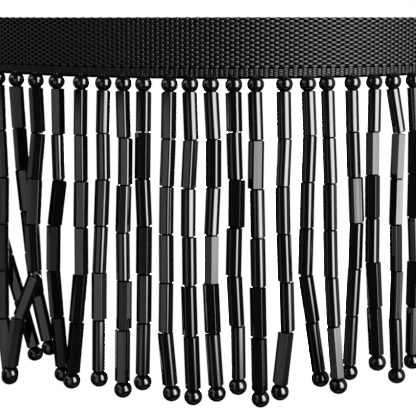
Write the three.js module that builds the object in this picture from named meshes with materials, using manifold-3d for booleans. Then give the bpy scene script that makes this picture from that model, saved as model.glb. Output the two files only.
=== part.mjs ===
// Beaded fringe trim: a woven heading tape with strands of beads hanging from its lower edge.
// Millimetres, +Z up, +X along the trim, -Y towards the viewer.
// The origin is on the tape's top edge, at the point nearest the viewer.

import * as THREE from 'three';
import { mergeVertices } from 'three/addons/utils/BufferGeometryUtils.js';
import Module from 'manifold-3d';

// Heading tape, hung in a bow towards the viewer with its middle a little low.
const tapeHeight = 10;
const tapeThickness = 1;
const borderHeight = 1.8; // corded lower border that the strands are sewn to
const parting = 0.3; // between the tape and its border
const bowRadius = 70; // in plan
const sagRadius = 430; // seen from the front
const leftEnd = -57.6; // along the tape from the origin
const rightEnd = 46;
const tapeSteps = 48;

// Beads. A strand is a round bead, six tube beads and a round end bead on a thread.
const roundRadius = 1.42; // of the first bead
const endRadius = 1.56;
const rootDrop = 0.9; // from the tape's lower edge to the first bead's centre
const tubeLengths = [7.3, 7.7, 7.8, 8, 8.3, 8.7]; // from the top down
const tubeHalf = 1.15; // half the width of a tube's four-sided form
const roundShare = 0.92; // width of a round bead's four-sided form, as a share of its diameter
const seat = 0.14; // thread that shows between two beads
const threadHalf = 0.45;
const rootDepth = 0.9; // how far a thread runs up inside the border

// A round bead's rings: place along the thread and width, as shares of its radius.
const roundRings = [
  { along: -0.88, across: 0.48 },
  { along: -0.5, across: 0.87 },
  { along: 0, across: 1 },
  { along: 0.5, across: 0.87 },
  { along: 0.88, across: 0.48 },
];

// One row for each strand, from left to right: where it hangs along the tape in mm, the grade of
// its tubes as a share of the usual length, how many degrees it hangs back from the viewer, and
// each tube's tilt to the right in degrees, from the top down. The lead, where there is one, is how
// many mm its first tube falls short, which the tubes below it make up.
const strands = [
  { along: -55.4, grade: 1.0, back: 2, tilts: [1, -1, 2, 0, 1, -1] },
  { along: -50, grade: 1.05, back: 8, tilts: [-6, -2, 1, 14, 15, 14] },
  { along: -43.8, grade: 1.08, back: 1, tilts: [0, 1, -4, -3, -2, 7] },
  { along: -38.9, grade: 0.95, back: 5, tilts: [-1, -1, 2, 2, 4, 11] },
  { along: -34.3, grade: 1.01, back: -3, tilts: [5, -5, -2, 5, -24, -10] },
  { along: -29.8, grade: 1.01, back: 3, tilts: [-2, -1, -11, -4, 2, 3] },
  { along: -24.9, grade: 1.0, back: -1, tilts: [-1, 0, -1, 0, -6, -6] },
  { along: -20.7, grade: 0.98, lead: 0.4, back: 0, tilts: [-2, 0, -3, -3.5, -1, -1] },
  { along: -17.1, grade: 1.01, back: 0, tilts: [1, -1, -2, 0, -1, -1] },
  { along: -13.6, grade: 0.975, lead: 0.8, back: 0, tilts: [-1, -1, 2, -1, -1, -1.5] },
  { along: -9.2, grade: 1.005, back: 0, tilts: [-1, -2.5, -1, 0, -1, 5] },
  { along: -5.8, grade: 1.015, back: 0, tilts: [2, -3, -0.5, 0.5, 1.5, 2] },
  { along: -2.4, grade: 1.0, back: 0, tilts: [3, 0, -2.5, -0.5, 2.5, 4] },
  { along: 1.4, grade: 0.975, lead: 1, back: 0, tilts: [1.5, 2, -0.5, -1, 3, 1] },
  { along: 5, grade: 1.025, back: 0, tilts: [2, -0.5, 1.5, 1.5, 1.5, 1.5] },
  { along: 9.8, grade: 1.0, back: 0, tilts: [1.5, -2, 1.5, 2.5, 2, -6] },
  { along: 13.8, grade: 0.975, lead: 0.3, back: 1.5, tilts: [3.5, -1, 0, -0.5, 10, 9.5] },
  { along: 17.2, grade: 0.985, lead: -0.2, back: -2.5, tilts: [1.5, 2, 0.5, 1, 3, 4.5] },
  { along: 21.9, grade: 0.975, lead: 0.6, back: 2.5, tilts: [4, 4.5, 4.5, 0.5, -1, -1] },
  { along: 26.1, grade: 0.935, back: -1, tilts: [-0.5, 0, 0.5, 0, 3.5, 4] },
  { along: 30, grade: 0.998, lead: 0.3, back: 0, tilts: [12.5, -1.5, -0.5, 2, -1, 4] },
  { along: 34.6, grade: 0.965, back: 0, tilts: [5, 1, 0, 4, -0.5, 0] },
  { along: 39.2, grade: 1.0, back: -1, tilts: [2, -1, 1, 0, 2, 1] },
  { along: 43.6, grade: 0.99, back: 1, tilts: [0, 1, -2, 1, -1, 2] },
];

const wasm = await Module();
wasm.setup();

const up = new THREE.Vector3(0, 0, 1);

// The point on the top edge that far along the tape, with the tape's run and its front's normal.
function place(along) {
  const angle = along / bowRadius;
  const rise = (along * along) / (2 * sagRadius);
  const point = new THREE.Vector3(Math.sin(angle), 1 - Math.cos(angle), 0).multiplyScalar(bowRadius);
  return {
    point: point.addScaledVector(up, rise),
    run: new THREE.Vector3(Math.cos(angle), Math.sin(angle), 0),
    front: new THREE.Vector3(Math.sin(angle), -Math.cos(angle), 0),
  };
}

// A closed body through rings of equally many points, each ring running anticlockwise as seen
// from the last ring looking back at the first.
function loft(rings) {
  const count = rings[0].length;
  const geometry = new THREE.BufferGeometry().setFromPoints(rings.flat());
  const faces = [];
  for (let ring = 0; ring + 1 < rings.length; ring++) {
    for (let side = 0; side < count; side++) {
      const a = ring * count + side;
      const b = ring * count + ((side + 1) % count);
      faces.push(a, b, b + count, a, b + count, a + count);
    }
  }
  const last = (rings.length - 1) * count;
  for (let side = 1; side + 1 < count; side++) {
    faces.push(0, side + 1, side);
    faces.push(last, last + side, last + side + 1);
  }
  geometry.setIndex(faces);
  return geometry;
}

// A band of the tape between two depths below its top edge.
function band(upper, lower) {
  const rings = [];
  for (let step = 0; step <= tapeSteps; step++) {
    const { point, front } = place(leftEnd + ((rightEnd - leftEnd) * step) / tapeSteps);
    const corner = (depth, out) =>
      point.clone().addScaledVector(up, -depth).addScaledVector(front, out * tapeThickness * 0.5);
    rings.push([corner(lower, 1), corner(lower, -1), corner(upper, -1), corner(upper, 1)]);
  }
  return loft(rings);
}

// A bead's axes: down its thread, across to the right and out to the front.
function axesOf({ run, front }, backDegrees, tiltDegrees) {
  const back = THREE.MathUtils.degToRad(backDegrees);
  const tilt = THREE.MathUtils.degToRad(tiltDegrees);
  const hang = up.clone().multiplyScalar(-Math.cos(back)).addScaledVector(front, -Math.sin(back));
  const down = hang.multiplyScalar(Math.cos(tilt)).addScaledVector(run, Math.sin(tilt));
  const across = run.clone().addScaledVector(down, -run.dot(down)).normalize();
  return { down, across, out: new THREE.Vector3().crossVectors(across, down).negate() };
}

// A square ring about a point of a strand.
function square(centre, { across, out }, half) {
  const corner = (right, forward) =>
    centre.clone().addScaledVector(across, right * half).addScaledVector(out, forward * half);
  return [corner(-1, -1), corner(1, -1), corner(1, 1), corner(-1, 1)];
}

function roundBead(centre, axes, radius) {
  return roundRings.map(({ along, across }) => {
    const middle = centre.clone().addScaledVector(axes.down, along * radius);
    return square(middle, axes, across * radius * roundShare);
  });
}

// One strand, from its root inside the border to its end bead.
function strand({ along, grade, lead = 0, back, tilts }) {
  const hung = place(along);
  const plumb = axesOf(hung, 0, 0);
  const edge = hung.point.clone().addScaledVector(up, -tapeHeight);
  const first = edge.clone().addScaledVector(up, -rootDrop);
  const rings = [
    square(edge.clone().addScaledVector(up, rootDepth), plumb, threadHalf),
    ...roundBead(first, plumb, roundRadius),
  ];
  const end = first.clone().addScaledVector(plumb.down, roundRadius);
  let above = plumb;
  tilts.forEach((tilt, row) => {
    const axes = axesOf(hung, back, tilt);
    // Two beads at an angle touch on the inside of the bend, so the thread shows on the outside.
    const gap = seat + tubeHalf * above.down.angleTo(axes.down);
    const between = above.down.clone().add(axes.down).normalize();
    rings.push(square(end.clone().addScaledVector(between, gap / 2), axes, threadHalf));
    end.addScaledVector(between, gap);
    rings.push(square(end, axes, tubeHalf));
    const uneven = row ? lead / (tilts.length - 1) : -lead;
    end.addScaledVector(axes.down, tubeLengths[row] * grade + uneven);
    rings.push(square(end, axes, tubeHalf));
    above = axes;
  });
  rings.push(square(end.clone().addScaledVector(above.down, seat / 2), above, threadHalf));
  rings.push(...roundBead(end.addScaledVector(above.down, seat + endRadius), above, endRadius));
  return loft(rings);
}

function solidOf(geometry) {
  const merged = mergeVertices(geometry);
  const vertProperties = new Float32Array(merged.attributes.position.array);
  const triVerts = new Uint32Array(merged.index.array);
  return new wasm.Manifold(new wasm.Mesh({ numProp: 3, vertProperties, triVerts }));
}

function geometryOf(solid) {
  const { vertProperties, triVerts } = solid.getMesh();
  const geometry = new THREE.BufferGeometry();
  geometry.setAttribute('position', new THREE.BufferAttribute(vertProperties, 3));
  geometry.setIndex(new THREE.BufferAttribute(triVerts, 1));
  return geometry;
}

function named(name, geometry, look) {
  geometry.computeVertexNormals();
  const mesh = new THREE.Mesh(geometry, new THREE.MeshStandardMaterial({ ...look, flatShading: true }));
  mesh.name = name;
  return mesh;
}

const weave = { color: 0x1c1c1e, roughness: 0.7, metalness: 0 };
const jet = { color: 0x08080a, roughness: 0.08, metalness: 0 };

const tape = band(0, tapeHeight - borderHeight - parting);
const border = solidOf(band(tapeHeight - borderHeight, tapeHeight));
const fringe = strands.reduce((whole, row) => whole.add(solidOf(strand(row))), border);

const trim = new THREE.Group();
trim.add(named('tape', tape, weave));
trim.add(named('fringe', geometryOf(fringe), jet));

export default trim;
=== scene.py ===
import math
import random

import bmesh
import bpy
from mathutils import Matrix, Vector


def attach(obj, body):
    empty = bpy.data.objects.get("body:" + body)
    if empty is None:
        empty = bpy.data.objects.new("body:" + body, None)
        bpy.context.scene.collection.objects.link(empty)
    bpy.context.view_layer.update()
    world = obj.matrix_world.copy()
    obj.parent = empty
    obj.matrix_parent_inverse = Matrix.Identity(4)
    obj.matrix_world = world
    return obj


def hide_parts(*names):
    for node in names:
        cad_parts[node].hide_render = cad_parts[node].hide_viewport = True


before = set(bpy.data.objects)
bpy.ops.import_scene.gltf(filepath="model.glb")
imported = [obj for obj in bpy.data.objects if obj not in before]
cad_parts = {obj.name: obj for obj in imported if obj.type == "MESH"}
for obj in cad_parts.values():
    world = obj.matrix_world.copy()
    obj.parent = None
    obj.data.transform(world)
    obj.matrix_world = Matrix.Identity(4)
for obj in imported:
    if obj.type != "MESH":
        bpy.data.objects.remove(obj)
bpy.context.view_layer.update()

mm = 0.001
scene = bpy.context.scene

# Sizes below are in millimetres and degrees. +X runs along the trim, -Y is towards the viewer.

# node sockets that do sums

class Wire:
    def __init__(self, tree, socket=None):
        self.tree = tree
        self.socket = socket

    def node(self, kind, settings=None, links=None, out=0):
        made = self.tree.nodes.new(kind)
        for name, value in (settings or {}).items():
            setattr(made, name, value)
        for name, value in (links or {}).items():
            if isinstance(value, Wire):
                self.tree.links.new(value.socket, made.inputs[name])
            else:
                made.inputs[name].default_value = value
        return Wire(self.tree, made.outputs[out])

    def also(self, out):
        return Wire(self.tree, self.socket.node.outputs[out])

    def into(self, socket):
        self.tree.links.new(self.socket, socket)

    def math(self, operation, *values):
        return self.node("ShaderNodeMath", {"operation": operation}, dict(enumerate(values)))

    def __add__(self, other):
        return self.math("ADD", self, other)

    def __radd__(self, other):
        return self.math("ADD", other, self)

    def __sub__(self, other):
        return self.math("SUBTRACT", self, other)

    def __rsub__(self, other):
        return self.math("SUBTRACT", other, self)

    def __mul__(self, other):
        return self.math("MULTIPLY", self, other)

    def __rmul__(self, other):
        return self.math("MULTIPLY", other, self)

    def __truediv__(self, other):
        return self.math("DIVIDE", self, other)

    def __rtruediv__(self, other):
        return self.math("DIVIDE", other, self)

    def __neg__(self):
        return self.math("SUBTRACT", 0.0, self)

    def __abs__(self):
        return self.math("ABSOLUTE", self)

    def sin(self):
        return self.math("SINE", self)

    def cos(self):
        return self.math("COSINE", self)

    def tanh(self):
        return self.math("TANH", self)

    def floor(self):
        return self.math("FLOOR", self)

    def atLeast(self, low):
        return self.math("MAXIMUM", self, low)

    def atMost(self, high):
        return self.math("MINIMUM", self, high)

    def ramp(self, low, high, start=0.0, end=1.0):
        return self.node(
            "ShaderNodeMapRange",
            {"interpolation_type": "SMOOTHSTEP"},
            {"Value": self, "From Min": low, "From Max": high, "To Min": start, "To Max": end},
        )

    def vector(self, x, y, z):
        return self.node("ShaderNodeCombineXYZ", None, {"X": x, "Y": y, "Z": z})

    def parts(self):
        split = self.node("ShaderNodeSeparateXYZ", None, {"Vector": self})
        return split, split.also("Y"), split.also("Z")


# parts of a material

def startMaterial(name, fixed):
    material = bpy.data.materials.new(name)
    material.use_nodes = True
    shader = material.node_tree.nodes["Principled BSDF"]
    for socket, value in fixed.items():
        shader.inputs[socket].default_value = value
    return material, shader, Wire(material.node_tree)


def attribute(wire, name, out):
    return wire.node("ShaderNodeAttribute", {"attribute_name": name}, None, out)


def noise(wire, place, scale=1.0, detail=3.0):
    return wire.node("ShaderNodeTexNoise", None, {"Vector": place, "Scale": scale, "Detail": detail})


def tones(wire, mask, dark, light):
    return wire.node("ShaderNodeMix", {"data_type": "RGBA"}, {0: mask, 6: (*dark, 1), 7: (*light, 1)}, out=2)


def bump(wire, height, strength, distance):
    return wire.node(
        "ShaderNodeBump", None, {"Height": height, "Strength": strength, "Distance": distance * mm},
        out="Normal",
    )


# camera and studio

cameraSet = {
    "place": (-2.82, -122.5, -20.52),
    "pitchDown": 5,
    "lens": 63.87,
    "sensor": 36,
    "nearest": 5,
}

# azimuth runs from the camera's side round to the right, rise is a panel's middle above the aim,
# pitch lays an upright panel on its back, fade is the share of its width and height that dies away
# towards its edges, glow is its radiance, twist turns it to the left and spread is its grid's angle
panels = [
    {"name": "softboxRight", "azimuth": 46, "distance": 148, "rise": 49, "pitch": 0,
     "width": 145, "height": 290, "fade": (0.7, 0.5), "glow": 17, "tint": (0.99, 0.99, 1)},
    {"name": "panelFarRight", "azimuth": 95, "distance": 600, "rise": 100, "pitch": 0,
     "width": 500, "height": 900, "fade": (0.5, 0.3), "glow": 0.25, "tint": (0.92, 0.94, 1)},
    {"name": "cardLeft", "azimuth": -42, "distance": 62, "rise": -36, "pitch": 0,
     "width": 56, "height": 120, "fade": (0.5, 0.15), "glow": 1.45, "tint": (0.97, 0.98, 1),
     "twist": 27, "spread": 110},
    {"name": "panelFarLeft", "azimuth": -100, "distance": 400, "rise": 40, "pitch": 0,
     "width": 300, "height": 500, "fade": (0.5, 0.3), "glow": 0.3, "tint": (0.97, 0.98, 1)},
    {"name": "fillLeft", "azimuth": -64, "distance": 200, "rise": 145, "pitch": 20,
     "width": 280, "height": 200, "fade": (0.6, 0.2), "glow": 2, "tint": (0.97, 0.98, 1)},
    {"name": "cardBelow", "azimuth": 40, "distance": 60, "rise": -160, "pitch": 90,
     "width": 160, "height": 40, "fade": (0.3, 0.5), "glow": 0.5, "tint": (1, 1, 1)},
    {"name": "stripBack", "azimuth": 181, "distance": 420, "rise": -40, "pitch": 0,
     "width": 100, "height": 420, "fade": (0.4, 0.4), "glow": 15, "tint": (0.98, 0.99, 1)},
    {"name": "hairLight", "azimuth": 170, "distance": 260, "rise": 330, "pitch": 52,
     "width": 640, "height": 240, "fade": (0.4, 0.4), "glow": 16, "tint": (0.98, 0.99, 1)},
]
softbox = panels[0]
studio = {
    "aim": (-4, 8, -30),
    "dim": 0.015,  # what the white surround sheds on the beads
    "overFloor": 500,
    "floorGlow": 3,
    "floorDepth": 200,
    "floorRadius": 300,
    "floorSides": 96,
    "paper": (0.85, 0.85, 0.84),
    "paperRoughness": 0.9,
}


def makeCamera():
    lens = bpy.data.cameras.new("camera")
    lens.sensor_width = cameraSet["sensor"]
    lens.lens = cameraSet["lens"]
    lens.clip_start = cameraSet["nearest"] * mm
    eye = bpy.data.objects.new("camera", lens)
    eye.location = Vector(cameraSet["place"]) * mm
    eye.rotation_euler = (math.radians(90 - cameraSet["pitchDown"]), 0, 0)
    scene.collection.objects.link(eye)
    scene.camera = eye


def panelSpot(azimuth, distance, rise):
    turn = math.radians(azimuth)
    away = Vector((math.sin(turn), -math.cos(turn), 0))
    return away, Vector(studio["aim"]) + away * distance + Vector((0, 0, rise))


def fadeEdges(lamp, fade):
    lamp.use_nodes = True
    wire = Wire(lamp.node_tree)
    across, up, _ = wire.node("ShaderNodeNewGeometry", out="Parametric").parts()
    level = 1.0
    for place, share in zip((across, up), fade):
        fromMiddle = abs(place - 0.5) * 2
        level = level * fromMiddle.ramp(1 - share, 1, 1, 0)
    level.into(lamp.node_tree.nodes["Emission"].inputs["Strength"])


def makePanel(name, azimuth, distance, rise, pitch, width, height, fade, glow, tint, twist=0, spread=180):
    lamp = bpy.data.lights.new(name, "AREA")
    lamp.shape = "RECTANGLE"
    lamp.size = width * mm
    lamp.size_y = height * mm
    half = math.radians(spread / 2)
    lamp.spread = half * 2
    gridShare = 1 - half / math.tan(half)  # of the light, what a grid lets through
    lamp.energy = glow * math.pi * lamp.size * lamp.size_y * gridShare
    lamp.color = tint
    fadeEdges(lamp, fade)
    panel = bpy.data.objects.new(name, lamp)
    away, spot = panelSpot(azimuth, distance, rise)
    lean = math.radians(pitch)
    behind = away * math.cos(lean) - Vector((0, 0, math.sin(lean)))
    behind.rotate(Matrix.Rotation(math.radians(twist), 3, "Z"))
    panel.location = spot * mm
    panel.rotation_euler = behind.to_track_quat("Z", "Y").to_euler()
    panel.visible_camera = False
    scene.collection.objects.link(panel)


def lightFloor():
    # brightens the paper alone, the beads don't mirror it
    lamp = bpy.data.lights.new("overFloor", "AREA")
    lamp.shape = "DISK"
    lamp.size = 2 * studio["floorRadius"] * mm
    area = math.pi * (studio["floorRadius"] * mm) ** 2
    lamp.energy = studio["floorGlow"] * math.pi * area
    above = bpy.data.objects.new("overFloor", lamp)
    above.location = (0, 0, (studio["overFloor"] - studio["floorDepth"]) * mm)
    above.visible_camera = False
    above.visible_glossy = False
    scene.collection.objects.link(above)


def makeWorld():
    # white to the eye, dim to everything else, so the beads keep their dark sides
    world = bpy.data.worlds.new("studio")
    world.use_nodes = True
    scene.world = world
    back = world.node_tree.nodes["Background"]
    back.inputs["Color"].default_value = (1, 1, 1, 1)
    wire = Wire(world.node_tree)
    seen = wire.node("ShaderNodeLightPath", out="Is Camera Ray")
    level = wire.node("ShaderNodeMapRange", None, {"Value": seen, "To Min": studio["dim"]})
    level.into(back.inputs["Strength"])
    scene.view_settings.view_transform = "Standard"


def makeFloor():
    disc = bmesh.new()
    radius = studio["floorRadius"] * mm
    bmesh.ops.create_circle(disc, cap_ends=True, segments=studio["floorSides"], radius=radius)
    bmesh.ops.translate(disc, verts=disc.verts, vec=(0, 0, -studio["floorDepth"] * mm))
    mesh = bpy.data.meshes.new("floor")
    disc.to_mesh(mesh)
    disc.free()
    floor = bpy.data.objects.new("floor", mesh)
    scene.collection.objects.link(floor)
    look = {"Base Color": (*studio["paper"], 1), "Roughness": studio["paperRoughness"]}
    paper, _, _ = startMaterial("palePaper", look)
    mesh.materials.append(paper)
    floor.visible_glossy = False


makeCamera()
for panel in panels:
    makePanel(**panel)
lightFloor()
makeWorld()
makeFloor()
print("studio ready")


# black glass of the beads

glassLook = {
    "ior": 1.52,
    "dark": (0.0006, 0.0006, 0.0007),
    "light": (0.0016, 0.0016, 0.0018),
    "gloss": 0.045,
    "dull": 0.13,
    "streaks": (24, 0.8),  # round the bead and along it
    "streakShift": 37,  # how far a bead's seed moves them
    "clouds": (3, 4),
    "cloudShift": (91, 5),
    "smears": (0.5, 0.8),  # the clouds' levels from clear to smeared
    "smearWear": 0.35,
    "rim": 0.025,  # the rubbed share of the length, at each end
    "rimWear": 0.5,
    "relief": 0.03,
    "reliefStrength": 0.6,
}


def jetGlass():
    look = glassLook
    material, shader, wire = startMaterial("jetGlass", {"IOR": look["ior"]})
    around, along, _ = attribute(wire, "beadUv", "Vector").parts()
    seed = attribute(wire, "beadSeed", "Fac")
    aTurn, aLength = look["streaks"]
    lines = noise(wire, wire.vector(around * aTurn, along * aLength, seed * look["streakShift"]))
    aTurn, aLength = look["clouds"]
    apart, first = look["cloudShift"]
    clouds = noise(wire, wire.vector(around * aTurn, along * aLength, seed * apart + first))
    tones(wire, clouds, look["dark"], look["light"]).into(shader.inputs["Base Color"])
    ends = abs(along - 0.5).ramp(0.5 - look["rim"], 0.5)
    wear = clouds.ramp(*look["smears"]) * look["smearWear"] + ends * look["rimWear"]
    rough = look["gloss"] + wear * (look["dull"] - look["gloss"])
    rough.into(shader.inputs["Roughness"])
    drawn = attribute(wire, "drawn", "Fac")
    bump(wire, lines * drawn, look["reliefStrength"], look["relief"]).into(shader.inputs["Normal"])
    return material


# yarns of the tape and the sewing thread

yarnLook = {
    "dark": (0.0003, 0.0003, 0.0004),
    "light": (0.0012, 0.0012, 0.0014),
    "shine": 0.26,
    "satin": 0.32,
    "matt": 0.42,
    "filaments": 5,
    "filamentDrift": 1.2,  # how fast they change along the yarn
    "rowShift": 13,
    "patches": (0.35, 2.7),  # along the yarn and from row to row
    "patchShare": 0.4,
    "mattPatches": (0.35, 0.75),
    "relief": 0.012,
    "reliefStrength": 0.5,
    "shadeToShine": (0.58, 0.84),  # how far in front a yarn lies, from painted shade (dark and dull) to shiny
    "backShadeToShine": (0.3, 0.6),  # how far behind, for the back of the cloth
    "backFace": (0.0, 0.4),  # and how far it faces backwards there
}
cottonLook = {
    **yarnLook,
    "shine": 0.45,
    "satin": 0.38,
    "matt": 0.5,
    "filaments": 3,
}


def yarnFinish(name, look):
    material, shader, wire = startMaterial(name, {"Specular IOR Level": look["shine"]})
    along = attribute(wire, "yarnAlong", "Fac")
    ringX, ringY, _ = attribute(wire, "yarnRing", "Vector").parts()
    row = attribute(wire, "yarnRow", "Fac")
    many = look["filaments"]
    drift = along * look["filamentDrift"] + row * look["rowShift"]
    fibre = noise(wire, wire.vector(ringX * many, ringY * many, drift))
    alongPatch, rowPatch = look["patches"]
    patch = noise(wire, wire.vector(along * alongPatch, row * rowPatch, 0.0), detail=2.0)
    mask = fibre * (1 - look["patchShare"]) + patch * look["patchShare"]
    tones(wire, mask, look["dark"], look["light"]).into(shader.inputs["Base Color"])
    rough = look["satin"] + patch.ramp(*look["mattPatches"]) * (look["matt"] - look["satin"])
    rough.into(shader.inputs["Roughness"])
    bump(wire, fibre, look["reliefStrength"], look["relief"]).into(shader.inputs["Normal"])
    # painted shade: where a yarn dives between its neighbours, on either face of the cloth, a dark dull
    # diffuse shader takes the place of the shine
    lie = attribute(wire, "yarnLie", "Fac")
    back = -attribute(wire, "yarnFront", "Fac")
    shadeToShine = lie.ramp(*look["shadeToShine"]) + (-lie).ramp(*look["backShadeToShine"]) * back.ramp(*look["backFace"])
    paintedShade = wire.node("ShaderNodeBsdfDiffuse", None, {"Color": (*look["dark"], 1)})
    shiny = Wire(wire.tree, shader.outputs["BSDF"])
    both = wire.node("ShaderNodeMixShader", None, {0: shadeToShine, 1: paintedShade, 2: shiny})
    both.into(wire.tree.nodes["Material Output"].inputs["Surface"])
    return material


# the cloth seen between the yarns, kept dark and dull as painted shade in the gaps of the weave

groundShadeLook = {
    "dark": (0.0002, 0.0002, 0.00025),
    "light": (0.0005, 0.0005, 0.0006),
    "shine": 0.01,
    "satin": 0.7,
    "matt": 0.9,
    "grain": 40,
    "lengthShare": 10,  # the tape's length in heights, about
}


def clothGroundShade():
    look = groundShadeLook
    # painted shade: near black and with almost no shine, so the gaps of the weave stay dark
    material, shader, wire = startMaterial("clothGroundShade", {"Specular IOR Level": look["shine"]})
    along, depth, _ = attribute(wire, "clothUv", "Vector").parts()
    grain = noise(wire, wire.vector(along * look["lengthShare"], depth, 0.0), look["grain"])
    tones(wire, grain, look["dark"], look["light"]).into(shader.inputs["Base Color"])
    rough = look["satin"] + grain * (look["matt"] - look["satin"])
    rough.into(shader.inputs["Roughness"])
    return material


jet = jetGlass()
silk = yarnFinish("blackSilk", yarnLook)
cotton = yarnFinish("sewingCotton", cottonLook)
groundShade = clothGroundShade()
print("materials ready")


# geometry node trees

socketKinds = {int: "NodeSocketInt", float: "NodeSocketFloat"}
yarnSides = 6


def startTree(name, sizes, links=()):
    tree = bpy.data.node_groups.new(name, "GeometryNodeTree")
    sockets = tree.interface
    sockets.new_socket("Geometry", in_out="INPUT", socket_type="NodeSocketGeometry")
    for label, value in sizes.items():
        sockets.new_socket(label, in_out="INPUT", socket_type=socketKinds[type(value)])
    for label in links:
        sockets.new_socket(label, in_out="INPUT", socket_type="NodeSocket" + label)
    sockets.new_socket("Geometry", in_out="OUTPUT", socket_type="NodeSocketGeometry")
    given = tree.nodes.new("NodeGroupInput")
    wires = {socket.name: Wire(tree, socket) for socket in given.outputs if socket.name}
    return tree, wires


def endTree(tree, shape, material):
    whole = shape.node("GeometryNodeRealizeInstances", None, {"Geometry": shape})
    whole = whole.node("GeometryNodeTransform", None, {"Geometry": whole, "Scale": (mm, mm, mm)})
    done = whole.node("GeometryNodeSetMaterial", None, {"Geometry": whole, "Material": material})
    done.into(tree.nodes.new("NodeGroupOutput").inputs[0])


def growPiece(name, tree, sizes, base=None):
    piece = bpy.data.objects.new(name, base or bpy.data.meshes.new(name))
    scene.collection.objects.link(piece)
    grow = piece.modifiers.new("grow", "NODES")
    grow.node_group = tree
    for item in tree.interface.items_tree:
        if item.in_out == "INPUT" and item.name in sizes:
            grow[item.identifier] = sizes[item.name]
    ready = bpy.context.evaluated_depsgraph_get()
    grown = bpy.data.meshes.new_from_object(
        piece.evaluated_get(ready), preserve_all_data_layers=True, depsgraph=ready
    )
    piece.modifiers.remove(grow)
    piece.data = grown
    grown.name = name
    print(name, len(grown.polygons), "faces")
    return piece


def keep(shape, name, value, kind="FLOAT"):
    return shape.node(
        "GeometryNodeStoreNamedAttribute",
        {"data_type": kind, "domain": "POINT"},
        {"Geometry": shape, "Name": name, "Value": value},
    )


def named(shape, name, kind="FLOAT"):
    return shape.node("GeometryNodeInputNamedAttribute", {"data_type": kind}, {"Name": name})


def yarnTube(path, halfDepth, halfWidth):
    ring = path.node("GeometryNodeCurvePrimitiveCircle", None, {"Resolution": yarnSides, "Radius": 1.0})
    # a flat side faces out
    ring = ring.node(
        "GeometryNodeTransform", None, {"Geometry": ring, "Rotation": (0, 0, math.pi / yarnSides)}
    )
    ring = keep(ring, "yarnRing", ring.node("GeometryNodeInputPosition"), "FLOAT_VECTOR")
    ring = ring.node(
        "GeometryNodeTransform", None, {"Geometry": ring, "Scale": ring.vector(halfDepth, halfWidth, 1.0)}
    )
    tube = path.node(
        "GeometryNodeCurveToMesh", None, {"Curve": path, "Profile Curve": ring, "Fill Caps": True}
    )
    _, deep, _ = tube.node("GeometryNodeInputNormal").parts()
    tube = keep(tube, "yarnFront", -deep)
    return tube.node("GeometryNodeSetShadeSmooth", None, {"Geometry": tube})


# the bow that the tape hangs in

bow = {
    "Bow Radius": 70.0,
    "Sag Radius": 430.0,
    "Left End": -57.6,
    "Right End": 46.0,
}
tapeHeight = 10.0


def bowPoint(along, depth, out):
    turn = along / bow["Bow Radius"]
    reach = bow["Bow Radius"] + out
    rise = along * along / (2 * bow["Sag Radius"])
    return Vector((reach * math.sin(turn), bow["Bow Radius"] - reach * math.cos(turn), rise - depth))


def bend(given, along, depth, out):
    # the same in a tree
    turn = along / given["Bow Radius"]
    reach = given["Bow Radius"] + out
    rise = along * along / (2.0 * given["Sag Radius"])
    return along.vector(reach * turn.sin(), given["Bow Radius"] - reach * turn.cos(), rise - depth)


def tucked(given, depth):
    # the lower edge turns under
    below = (depth - given["Tuck Depth"]).atLeast(0.0)
    return below * below * given["Tuck"]


# warp yarns, which run along the tape over and under the picks

warp = {
    "Rows": 21,
    "First Depth": 0.32,
    "Row Pitch": 0.384,
    "Sway": 0.22,  # in row pitches
    "Sway Scale": 0.45,
    "Sway Shift": 7.3,
    "Pick Pitch": 0.829,
    "Steps": 752,  # about 6 a pick
    "Crimp": 0.16,  # how far a yarn goes in and out
    "Flatness": 4.5,  # how squarely it turns from one to the other
    "Float": 0.82,  # at 0 it lies as long behind as in front, at 1 it stays in front
    "Arch": 0.05,
    "Yarn Width": 0.46,
    "Yarn Depth": 0.15,
    "Girth": 0.93,
    "Swell": 0.13,  # more girth in front and less behind
    "Tuck Depth": 9.4,
    "Tuck": 2.5,
    "Fray": 0.35,  # how far a cut end may stick out
}
border = {
    **warp,
    "Rows": 9,
    "First Depth": 8.4,
    "Row Pitch": 0.145,
    "Crimp": 0.12,
    "Float": 0.2,
    "Arch": 0.03,
    "Yarn Width": 0.26,
    "Yarn Depth": 0.08,
}


def looseEnd(row):
    return row.node("ShaderNodeTexWhiteNoise", {"noise_dimensions": "1D"}, {"W": row})


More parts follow.
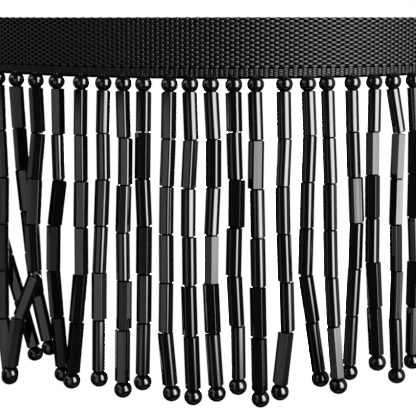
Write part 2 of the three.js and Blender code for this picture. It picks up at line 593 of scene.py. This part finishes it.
def warpTree():
    tree, given = startTree("warpYarns", {**bow, **warp}, ["Material"])
    start = given["Rows"]
    line = start.node("GeometryNodeCurvePrimitiveLine", None, {"End": (1, 0, 0)})
    line = line.node("GeometryNodeResampleCurve", None, {"Curve": line, "Count": given["Steps"]})
    spots = start.node("GeometryNodeMeshLine", None, {"Count": given["Rows"], "Offset": (0, 0, 0)})
    spots = keep(spots, "yarnRow", start.node("GeometryNodeInputIndex"))
    rows = start.node("GeometryNodeInstanceOnPoints", None, {"Points": spots, "Instance": line})
    rows = rows.node("GeometryNodeRealizeInstances", None, {"Geometry": rows})
    row = named(rows, "yarnRow")
    share = start.node("GeometryNodeSplineParameter")
    cutLeft = given["Left End"] - given["Fray"] * looseEnd(row)
    cutRight = given["Right End"] + given["Fray"] * looseEnd(row + 0.5)
    along = cutLeft + (cutRight - cutLeft) * share
    place = along.vector(along, row * given["Sway Shift"], 0.0)
    sway = (noise(along, place, given["Sway Scale"], 2.0) - 0.5) * (given["Row Pitch"] * given["Sway"])
    depth = given["First Depth"] + given["Row Pitch"] * row + sway
    # each yarn lies flat over a pick, for longer than it lies behind the next one
    wave = ((along / given["Pick Pitch"] + row) * math.pi).cos()
    lie = ((wave + given["Float"]) * given["Flatness"]).tanh()
    out = lie * given["Crimp"] + wave * given["Arch"] - tucked(given, depth)
    rows = keep(rows, "yarnAlong", along)
    rows = keep(rows, "yarnLie", lie)
    rows = rows.node(
        "GeometryNodeSetPosition", None, {"Geometry": rows, "Position": bend(given, along, depth, out)}
    )
    rows = rows.node("GeometryNodeSetCurveNormal", {"mode": "Z_UP"}, {"Curve": rows})
    girth = given["Girth"] + wave * given["Swell"]
    rows = rows.node("GeometryNodeSetCurveRadius", None, {"Curve": rows, "Radius": girth})
    tube = yarnTube(rows, given["Yarn Depth"] * 0.5, given["Yarn Width"] * 0.5)
    endTree(tree, tube, given["Material"])
    return tree


# the weft, one yarn that goes to and fro across the tape and turns at its edges

weft = {
    "Picks": 124,
    "Pick Pitch": warp["Pick Pitch"],
    "Top Depth": 0.19,
    "Low Depth": 9.78,
    "Steps": 2480,  # 20 a pick
    "Turn Share": 0.14,
    "Turn Bulge": 0.04,
    "Yarn Width": 0.32,
    "Yarn Depth": 0.22,
    "Tuck Depth": warp["Tuck Depth"],
    "Tuck": warp["Tuck"],
}


def weftTree():
    tree, given = startTree("weftYarn", {**bow, **weft}, ["Material"])
    start = given["Picks"]
    line = start.node("GeometryNodeCurvePrimitiveLine", None, {"End": (1, 0, 0)})
    path = line.node("GeometryNodeResampleCurve", None, {"Curve": line, "Count": given["Steps"]})
    travel = start.node("GeometryNodeSplineParameter") * given["Picks"]
    pick = travel.floor()
    share = travel - pick
    straight = 1.0 - given["Turn Share"]
    across = (share / straight).atMost(1.0)
    odd = pick.math("MODULO", pick, 2.0)
    down = across + odd * (1.0 - 2.0 * across)
    turned = share.ramp(straight, 1.0)
    bulge = (turned * math.pi).sin() * given["Turn Bulge"] * (1.0 - 2.0 * odd)
    depth = given["Top Depth"] + (given["Low Depth"] - given["Top Depth"]) * down + bulge
    along = given["Left End"] + (pick + turned + 0.5) * given["Pick Pitch"]
    path = keep(path, "yarnAlong", travel * tapeHeight)
    path = keep(path, "yarnRow", pick)
    # painted shade: the weft counts as lying behind, so on the front face of the cloth it is all dark and
    # dull
    path = keep(path, "yarnLie", -1.0)
    place = bend(given, along, depth, -tucked(given, depth))
    path = path.node("GeometryNodeSetPosition", None, {"Geometry": path, "Position": place})
    turn = along / given["Bow Radius"]
    front = along.vector(turn.sin(), -turn.cos(), 0.0)
    path = path.node("GeometryNodeSetCurveNormal", {"mode": "FREE"}, {"Curve": path, "Normal": front})
    tube = yarnTube(path, given["Yarn Depth"] * 0.5, given["Yarn Width"] * 0.5)
    endTree(tree, tube, given["Material"])
    return tree


yarns = warpTree()
tapeWarp = growPiece("tapeWarp", yarns, {**bow, **warp, "Material": silk})
borderWarp = growPiece("borderWarp", yarns, {**bow, **border, "Material": silk})
tapeWeft = growPiece("tapeWeft", weftTree(), {**bow, **weft, "Material": silk})


# the cloth between the yarns, a thin sheet that closes the gaps of the weave, with a dark dull finish that
# is painted shade in those gaps

cloth = {
    "thickness": 0.06,
    "steps": 96,
    "depths": [0.09, 2, 4, 6, 8, 9.4, 9.6, 9.8, 9.94],
}


def makeCloth():
    sheet = bmesh.new()
    uvs = sheet.loops.layers.uv.new("clothUv")
    low, high = bow["Left End"], bow["Right End"]
    lastStep, lastRow = cloth["steps"], len(cloth["depths"]) - 1
    spots = {}
    for step in range(lastStep + 1):
        along = low + (high - low) * step / lastStep
        for row, depth in enumerate(cloth["depths"]):
            tuck = max(depth - warp["Tuck Depth"], 0) ** 2 * warp["Tuck"]
            for side in (-1, 1):
                spot = bowPoint(along, depth, side * cloth["thickness"] / 2 - tuck)
                spots[step, row, side] = sheet.verts.new(spot * mm)
    for side in (-1, 1):
        for step in range(lastStep):
            for row in range(lastRow):
                corners = [(step, row), (step + 1, row), (step + 1, row + 1), (step, row + 1)]
                face = sheet.faces.new([spots[(*corner, side)] for corner in corners])
                for loop, corner in zip(face.loops, corners):
                    loop[uvs].uv = (corner[0] / lastStep, cloth["depths"][corner[1]] / tapeHeight)
    # the rim closes the sheet all round
    rim = [((step, 0), (step + 1, 0)) for step in range(lastStep)]
    rim += [((step, lastRow), (step + 1, lastRow)) for step in range(lastStep)]
    rim += [((0, row), (0, row + 1)) for row in range(lastRow)]
    rim += [((lastStep, row), (lastStep, row + 1)) for row in range(lastRow)]
    for a, b in rim:
        sheet.faces.new([spots[(*a, -1)], spots[(*b, -1)], spots[(*b, 1)], spots[(*a, 1)]])
    bmesh.ops.recalc_face_normals(sheet, faces=sheet.faces)
    mesh = bpy.data.meshes.new("tapeCloth")
    sheet.to_mesh(mesh)
    sheet.free()
    mesh.materials.append(groundShade)
    piece = bpy.data.objects.new("tapeCloth", mesh)
    scene.collection.objects.link(piece)
    return piece


tapeCloth = makeCloth()
print("tape ready")


# the two shapes of bead, each a closed shell round its bore

tubeBead = {
    "length": 8.0,
    "sides": 6,
    "cornerRadius": 1.37,
    "edgeRadii": [0.05, 0.38, 0.76],  # crisp, eased, rounded
    "flatBelow": 0.5,  # edges that are rounder than this leave no flat face
    "endRound": 0.15,
    "lip": 0.82,  # how far out an end is flat, as a share of the section
    "bore": 0.75,
    "boreDip": 0.05,
    "girths": (0.98, 1.02),
    "drawn": (0.35, 1.7),  # the least depth of the drawn lines, and what chance may add
    "touch": 0.03,  # what stays open at a straight joint
    "close": 0.2,  # the widest gape that a joint closes
    "nest": 0.22,  # how far a round bead sits in a tube's mouth
}
roundBead = {
    "columns": 40,
    "rows": 18,
    "topBore": 0.42,
    "firstBore": 0.42,
    "endBore": 0.58,
    "firstHeights": (0.93, 1.0),
    "endHeights": (0.92, 0.97),
    "drawn": 0.05,
}
halfSide = 180 / tubeBead["sides"]  # from a tube's corner to the middle of its face


def ringShell(name, rings, crisp=(), flats=()):
    shell = bmesh.new()
    uvs = shell.loops.layers.uv.new("beadUv")
    columns = len(rings[0])
    outer = len(rings) - 1
    verts = [[shell.verts.new(point) for point in ring] for ring in rings]
    for band in range(len(rings)):
        under = (band + 1) % len(rings)
        for column in range(columns):
            beside = (column + 1) % columns
            face = shell.faces.new([
                verts[band][column], verts[under][column], verts[under][beside], verts[band][beside],
            ])
            face.smooth = (band, column) not in flats
            if band in crisp:
                shell.edges.get((verts[band][column], verts[band][beside])).smooth = False
            high, low = band / outer, min(band + 1, outer) / outer
            spots = [(column, high), (column, low), (column + 1, low), (column + 1, high)]
            for loop, (turn, place) in zip(face.loops, spots):
                loop[uvs].uv = (turn / columns, place)
    bmesh.ops.recalc_face_normals(shell, faces=shell.faces)
    mesh = bpy.data.meshes.new(name)
    shell.to_mesh(mesh)
    shell.free()
    return bpy.data.objects.new(name, mesh)


def makeTube(edgeRadius):
    sides = tubeBead["sides"]
    leans = (-halfSide, 0, halfSide)
    inset = tubeBead["cornerRadius"] - edgeRadius / math.cos(math.radians(halfSide))
    section = []
    for corner in range(sides):
        heart = math.radians(corner * 2 * halfSide)
        for lean in leans:
            edge = math.radians(corner * 2 * halfSide + lean)
            section.append((
                inset * math.cos(heart) + edgeRadius * math.cos(edge),
                inset * math.sin(heart) + edgeRadius * math.sin(edge),
            ))
    half = tubeBead["length"] / 2
    bore = tubeBead["bore"] / tubeBead["cornerRadius"]
    steps = [(bore, tubeBead["boreDip"]), (tubeBead["lip"], 0.0), (1.0, tubeBead["endRound"])]
    profile = [(grow, dip - half) for grow, dip in steps]
    profile += [(grow, half - dip) for grow, dip in reversed(steps)]
    rings = [[(x * grow, y * grow, z) for x, y in section] for grow, z in profile]
    # the long faces are flat, unless the edges are rounded far into them
    wall = len(steps) - 1
    flats = ()
    if edgeRadius < tubeBead["flatBelow"]:
        flats = {(wall, (side + 1) * len(leans) - 1) for side in range(sides)}
    return ringShell("tubeForm", rings, (wall, wall + 1), flats)


def makeRound(radius, lowBore):
    start = math.asin(roundBead["topBore"] / radius)
    finish = math.pi - math.asin(lowBore / radius)
    turns = [math.tau * column / roundBead["columns"] for column in range(roundBead["columns"])]
    rings = []
    for row in range(roundBead["rows"] + 1):
        lean = start + (finish - start) * row / roundBead["rows"]
        girth, height = radius * math.sin(lean), -radius * math.cos(lean)
        rings.append([(girth * math.cos(turn), girth * math.sin(turn), height) for turn in turns])
    return ringShell("roundForm", rings)


# strands of beads

hang = {
    "rootDrop": 0.9,
    "roundRadius": 1.42,
    "endRadius": 1.56,
    "tubeLengths": [7.3, 7.7, 7.8, 8, 8.3, 8.7],
    "tubeHalf": 1.15,
    "seat": 0.14,  # the gap at a straight joint
    "jog": 0.18,  # how far a tube may sit to one side
    "turn": 3,  # how far chance may turn it
    "girthMiddle": 1.03,
    "girthEnds": 0.93,
    "slimBy": 30,  # how far from the middle the tubes are at their slimmest
    "threadIn": 0.3,  # where the thread starts above the tape's lower edge
    "threadStops": (0.03, 0.5, 0.97),  # its points in a tube, as shares of the length
    "seed": 7,
}

# along the tape, tube length as a share, hang away from the viewer, each tube's tilt to the right
# and the way it takes the light, as in glintKinds; lead is what the first tube falls short by,
# made up by the tubes below it
strands = [
    {"along": -55.4, "grade": 1.0, "back": 2, "tilts": [1, -1, 2, 0, 1, -1], "glints": "bkbkbk"},
    {"along": -50, "grade": 1.05, "back": 8, "tilts": [-6, -2, 1, 14, 15, 14], "glints": "bbkbbb"},
    {"along": -43.8, "grade": 1.08, "back": 1, "tilts": [0, 1, -4, -3, -2, 7], "glints": "bbbbbb"},
    {"along": -38.9, "grade": 0.95, "back": 5, "tilts": [-1, -1, 2, 2, 4, 11], "glints": "bbbbbb"},
    {"along": -34.3, "grade": 1.01, "back": -3, "tilts": [5, -5, -2, 5, -24, -10], "glints": "bbbbdb"},
    {"along": -29.8, "grade": 1.01, "back": 3, "tilts": [-2, -1, -11, -4, 2, 3], "glints": "kmbbbb"},
    {"along": -24.9, "grade": 1.0, "back": -1, "tilts": [-1, 0, -1, 0, -6, -6], "glints": "ggdkbb"},
    {"along": -20.7, "grade": 0.98, "lead": 0.4, "back": 0, "tilts": [-2, 0, -3, -3.5, -1, -1],
     "glints": "mnnndm"},
    {"along": -17.1, "grade": 1.01, "back": 0, "tilts": [1, -1, -2, 0, -1, -1], "glints": "gnnndd"},
    {"along": -13.6, "grade": 0.975, "lead": 0.8, "back": 0, "tilts": [-1, -1, 2, -1, -1, -1.5],
     "glints": "ndndnn"},
    {"along": -9.2, "grade": 1.005, "back": 0, "tilts": [-1, -2.5, -1, 0, -1, 5], "glints": "gggggn"},
    {"along": -5.8, "grade": 1.015, "back": 0, "tilts": [2, -3, -0.5, 0.5, 1.5, 2], "glints": "mgmnnn"},
    {"along": -2.4, "grade": 1.0, "back": 0, "tilts": [3, 0, -2.5, -0.5, 2.5, 4], "glints": "mnmwdn"},
    {"along": 1.4, "grade": 0.975, "lead": 1, "back": 0, "tilts": [1.5, 2, -0.5, -1, 3, 1],
     "glints": "nndnnm"},
    {"along": 5, "grade": 1.025, "back": 0, "tilts": [2, -0.5, 1.5, 1.5, 1.5, 1.5], "glints": "mvmndd"},
    {"along": 9.8, "grade": 1.0, "back": 0, "tilts": [1.5, -2, 1.5, 2.5, 2, -6], "glints": "mmnnnk"},
    {"along": 13.8, "grade": 0.975, "lead": 0.3, "back": 1.5, "tilts": [3.5, -1, 0, -0.5, 10, 9.5],
     "glints": "mnnnnn"},
    {"along": 17.2, "grade": 0.985, "lead": -0.2, "back": -2.5, "tilts": [1.5, 2, 0.5, 1, 3, 4.5],
     "glints": "mmnnnu"},
    {"along": 21.9, "grade": 0.975, "lead": 0.6, "back": 2.5, "tilts": [4, 4.5, 4.5, 0.5, -1, -1],
     "glints": "mnvnnn"},
    {"along": 26.1, "grade": 0.935, "back": -1, "tilts": [-0.5, 0, 0.5, 0, 3.5, 4], "glints": "mwdndd"},
    {"along": 30, "grade": 0.998, "lead": 0.3, "back": 0, "tilts": [12.5, -1.5, -0.5, 2, -1, 4],
     "glints": "muuttn"},
    {"along": 34.6, "grade": 0.965, "back": 0, "tilts": [5, 1, 0, 4, -0.5, 0], "glints": "uddudu"},
    {"along": 39.2, "grade": 1.0, "back": -1, "tilts": [2, -1, 1, 0, 2, 1], "glints": "nmdnwd"},
    {"along": 43.6, "grade": 0.99, "back": 1, "tilts": [0, 1, -2, 1, -1, 2], "glints": "dnmdnn"},
]

# a tube's turn away from facing the softbox, and the edges it may have: 0 crisp, 1 eased, 2 rounded
glintKinds = {
    "w": {"turn": -8, "forms": [0]},  # one wide light face
    "v": {"turn": 11.5, "forms": [0]},  # one wide grey face, in the middle
    "u": {"turn": -12, "forms": [0]},  # one wide grey face, on the right
    "t": {"turn": -15, "forms": [0]},  # one wide dim face, on the right
    "m": {"turn": 0, "forms": [2]},  # a stripe
    "n": {"turn": 30, "forms": [1, 2]},  # a narrow line
    "g": {"turn": -16, "forms": [1]},  # a grey face on the left and a narrow line
    "k": {"turn": -16, "forms": [0]},  # a grey face on the left
    "b": {"turn": 20, "forms": [0]},  # dark, with a dim face on the left
    "d": {"turn": 30, "forms": [0]},  # dark
}

# the thread's end in the mouth of the last bead, with places as shares of the bead's radius
knot = {
    "inside": 0.5,
    "mouth": 0.45,
    "start": 0.5,
    "steps": 9,
    "turn": 1.2,  # radians a step
    "rise": 0.02,
    "radius": 0.24,
}

chance = random.Random(hang["seed"])


def beadAxes(along, back, tilt):
    turn = along / bow["Bow Radius"]
    run = Vector((math.cos(turn), math.sin(turn), 0))
    front = Vector((math.sin(turn), -math.cos(turn), 0))
    back, tilt = math.radians(back), math.radians(tilt)
    plumb = Vector((0, 0, -math.cos(back))) - front * math.sin(back)
    down = plumb * math.cos(tilt) + run * math.sin(tilt)
    across = (run - down * run.dot(down)).normalized()
    return down, across


def faceSoftbox(centre, down, turn):
    _, box = panelSpot(softbox["azimuth"], softbox["distance"], softbox["rise"])
    toEye, toBox = Vector(cameraSet["place"]) - centre, box - centre
    toEye.z = toBox.z = 0
    halfway = toEye.normalized() + toBox.normalized()
    level = (halfway - down * halfway.dot(down)).normalized()
    return Matrix.Rotation(math.radians(turn + halfSide), 3, down) @ level


def beadAt(centre, down, across, form, girth, stretch, drawn):
    return {
        "centre": centre.copy(), "down": down, "across": across, "form": form,
        "girth": girth, "stretch": stretch, "drawn": drawn, "beadSeed": chance.random(),
    }


def tubeAt(centre, down, kind, girth, length):
    turn = glintKinds[kind]["turn"] + chance.uniform(-hang["turn"], hang["turn"])
    facing = faceSoftbox(centre, down, turn)
    forms = glintKinds[kind]["forms"]
    form = forms[int(chance.random() * len(forms))]
    least, more = tubeBead["drawn"]
    drawn = least + more * chance.random() ** 2
    girth = girth * chance.uniform(*tubeBead["girths"])
    return beadAt(centre, down, facing, form, girth, length / tubeBead["length"], drawn)


def tubeReach(angle):
    # a tube runs on into the gap at a joint, but a sharp bend stays open on its outside
    gape = 2 * hang["tubeHalf"] * angle
    closed = min(gape, tubeBead["close"] ** 2 / max(gape, tubeBead["close"]))
    return (hang["seat"] - tubeBead["touch"] + closed) / 2


def knotRoute(end, down, across):
    out = down.cross(across)
    radius = hang["endRadius"]
    route = [end - down * radius * knot["inside"], end + down * radius * knot["mouth"]]
    for step in range(knot["steps"]):
        turn = step * knot["turn"]
        coil = across * math.cos(turn) + out * math.sin(turn)
        route.append(end + down * (radius * knot["start"] + step * knot["rise"]) + coil * knot["radius"])
    return route


def hangStrand(along, grade, back, tilts, glints, lead=0):
    down, across = beadAxes(along, 0, 0)
    end = bowPoint(along, tapeHeight + hang["rootDrop"], 0)
    height = chance.uniform(*roundBead["firstHeights"])
    rounds = [beadAt(end, down, across, 0, 1.0, height, roundBead["drawn"])]
    tubes = []
    route = [bowPoint(along, tapeHeight - hang["threadIn"], 0), end.copy()]
    end = end + down * hang["roundRadius"]
    slim = min(abs(along) / hang["slimBy"], 1)
    girth = hang["girthMiddle"] + (hang["girthEnds"] - hang["girthMiddle"]) * slim
    axes = [beadAxes(along, back, tilt) for tilt in tilts]
    downs = [down] + [axis[0] for axis in axes]
    bends = [above.angle(below) for above, below in zip(downs, downs[1:])]
    last = len(tilts) - 1
    for row, kind in enumerate(glints):
        above = down
        down, across = axes[row]
        gap = hang["seat"] + hang["tubeHalf"] * bends[row]
        end = end + (above + down).normalized() * gap
        uneven = lead / last if row else -lead
        length = hang["tubeLengths"][row] * grade + uneven
        top = tubeReach(bends[row]) if row else gap + tubeBead["nest"]
        low = tubeReach(bends[row + 1]) if row < last else hang["seat"] + tubeBead["nest"]
        jog = across * chance.uniform(-hang["jog"], hang["jog"])
        middle = end + down * (length + low - top) / 2 + jog
        tubes.append(tubeAt(middle, down, kind, girth, length + top + low))
        route += [end + down * length * share for share in hang["threadStops"]]
        end = end + down * length
    end = end + down * (hang["seat"] + hang["endRadius"])
    height = chance.uniform(*roundBead["endHeights"])
    rounds.append(beadAt(end, down, across, 1, 1.0, height, roundBead["drawn"]))
    return rounds, tubes, route + knotRoute(end, down, across)


def beadTree():
    tree, given = startTree("strungBeads", {}, ["Collection", "Material"])
    points = given["Geometry"]
    forms = points.node("GeometryNodeCollectionInfo", None, {
        "Collection": given["Collection"], "Separate Children": True, "Reset Children": True,
    })
    turn = points.node(
        "FunctionNodeAxesToRotation",
        {"primary_axis": "Z", "secondary_axis": "X"},
        {0: named(points, "down", "FLOAT_VECTOR"), 1: named(points, "across", "FLOAT_VECTOR")},
    )
    girth = named(points, "girth")
    beads = points.node("GeometryNodeInstanceOnPoints", None, {
        "Points": points, "Instance": forms, "Rotation": turn,
        "Pick Instance": True, "Instance Index": named(points, "form", "INT"),
        "Scale": points.vector(girth, girth, named(points, "stretch")),
    })
    endTree(tree, beads, given["Material"])
    return tree


def pointMesh(name, rows):
    mesh = bpy.data.meshes.new(name)
    mesh.from_pydata([row["centre"] for row in rows], [], [])
    for key in ("down", "across"):
        layer = mesh.attributes.new(key, "FLOAT_VECTOR", "POINT")
        for place, row in zip(layer.data, rows):
            place.vector = row[key]
    for key in ("girth", "stretch", "drawn", "beadSeed", "form"):
        layer = mesh.attributes.new(key, "INT" if key == "form" else "FLOAT", "POINT")
        for place, row in zip(layer.data, rows):
            place.value = row[key]
    return mesh


def stringBeads(name, tree, shapes, rows):
    # the forms go by their names' order
    forms = bpy.data.collections.new(name + "Forms")
    scene.collection.children.link(forms)
    for shape in shapes:
        forms.objects.link(shape)
    piece = growPiece(name, tree, {"Collection": forms, "Material": jet}, pointMesh(name, rows))
    for shape in shapes:
        bpy.data.objects.remove(shape)
    bpy.data.collections.remove(forms)
    return piece


rounds, tubes, routes = [], [], []
for strand in strands:
    ends, middles, route = hangStrand(**strand)
    rounds += ends
    tubes += middles
    routes.append(route)

stringing = beadTree()
tubeForms = [makeTube(radius) for radius in tubeBead["edgeRadii"]]
tubeBeads = stringBeads("tubeBeads", stringing, tubeForms, tubes)
roundForms = [
    makeRound(hang["roundRadius"], roundBead["firstBore"]),
    makeRound(hang["endRadius"], roundBead["endBore"]),
]
roundBeads = stringBeads("roundBeads", stringing, roundForms, rounds)
print("beads ready")


# the thread through each strand, and the stitches that hold it to the tape

thread = {
    "Thread Radius": 0.28,
}
stitch = {
    "Thread Radius": 0.13,
    "spread": 0.22,
    "top": 9.4,
    # a leg's points: share of the spread, drop from the top and way out of the tape
    "leg": [(0.3, 0.75, 0.1), (0.75, 0.45, 0.33), (1, 0.2, 0.34), (1.05, 0.04, 0.2), (1.05, 0, 0)],
    "backOut": -0.34,
    "backSway": 0.06,
    "backWaves": 1.4,  # radians a millimetre
}


def threadTree():
    tree, given = startTree("threads", thread, ["Material"])
    path = given["Geometry"].node("GeometryNodeMeshToCurve", None, {"Mesh": given["Geometry"]})
    path = keep(path, "yarnAlong", path.node("GeometryNodeSplineParameter", out="Length"))
    path = keep(path, "yarnRow", 0.0)
    path = keep(path, "yarnLie", 1.0)
    tube = yarnTube(path, given["Thread Radius"], given["Thread Radius"])
    endTree(tree, tube, given["Material"])
    return tree


def pathMesh(name, routes):
    mesh = bpy.data.meshes.new(name)
    points, edges = [], []
    for route in routes:
        first = len(points)
        points += route
        edges += [(spot, spot + 1) for spot in range(first, len(points) - 1)]
    mesh.from_pydata(points, edges, [])
    return mesh


def stitchLegs(along):
    legs = []
    for side in (-1, 1):
        for face in (-1, 1):
            legs.append([
                bowPoint(along + side * share * stitch["spread"], stitch["top"] + drop, face * out)
                for share, drop, out in stitch["leg"]
            ])
    return legs


def backThread():
    # runs from strand to strand behind the border
    first, last = strands[0]["along"], strands[-1]["along"]
    steps = round(last - first)
    route = []
    for step in range(steps + 1):
        along = first + (last - first) * step / steps
        sway = stitch["backSway"] * math.sin(along * stitch["backWaves"])
        route.append(bowPoint(along, stitch["top"] + sway, stitch["backOut"]))
    return route


threads = threadTree()
strandThread = growPiece(
    "strandThread", threads, {**thread, "Material": cotton}, pathMesh("strandThread", routes)
)
sewing = [leg for strand in strands for leg in stitchLegs(strand["along"])] + [backThread()]
edgeStitches = growPiece(
    "edgeStitches", threads, {**stitch, "Material": cotton}, pathMesh("edgeStitches", sewing)
)
print("thread ready")


# each piece, textile or bead, rides on the root body

textiles = [tapeCloth, tapeWarp, borderWarp, tapeWeft, strandThread, edgeStitches]
beads = [tubeBeads, roundBeads]
for piece in textiles + beads:
    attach(piece, "root")
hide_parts("tape")
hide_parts("fringe")
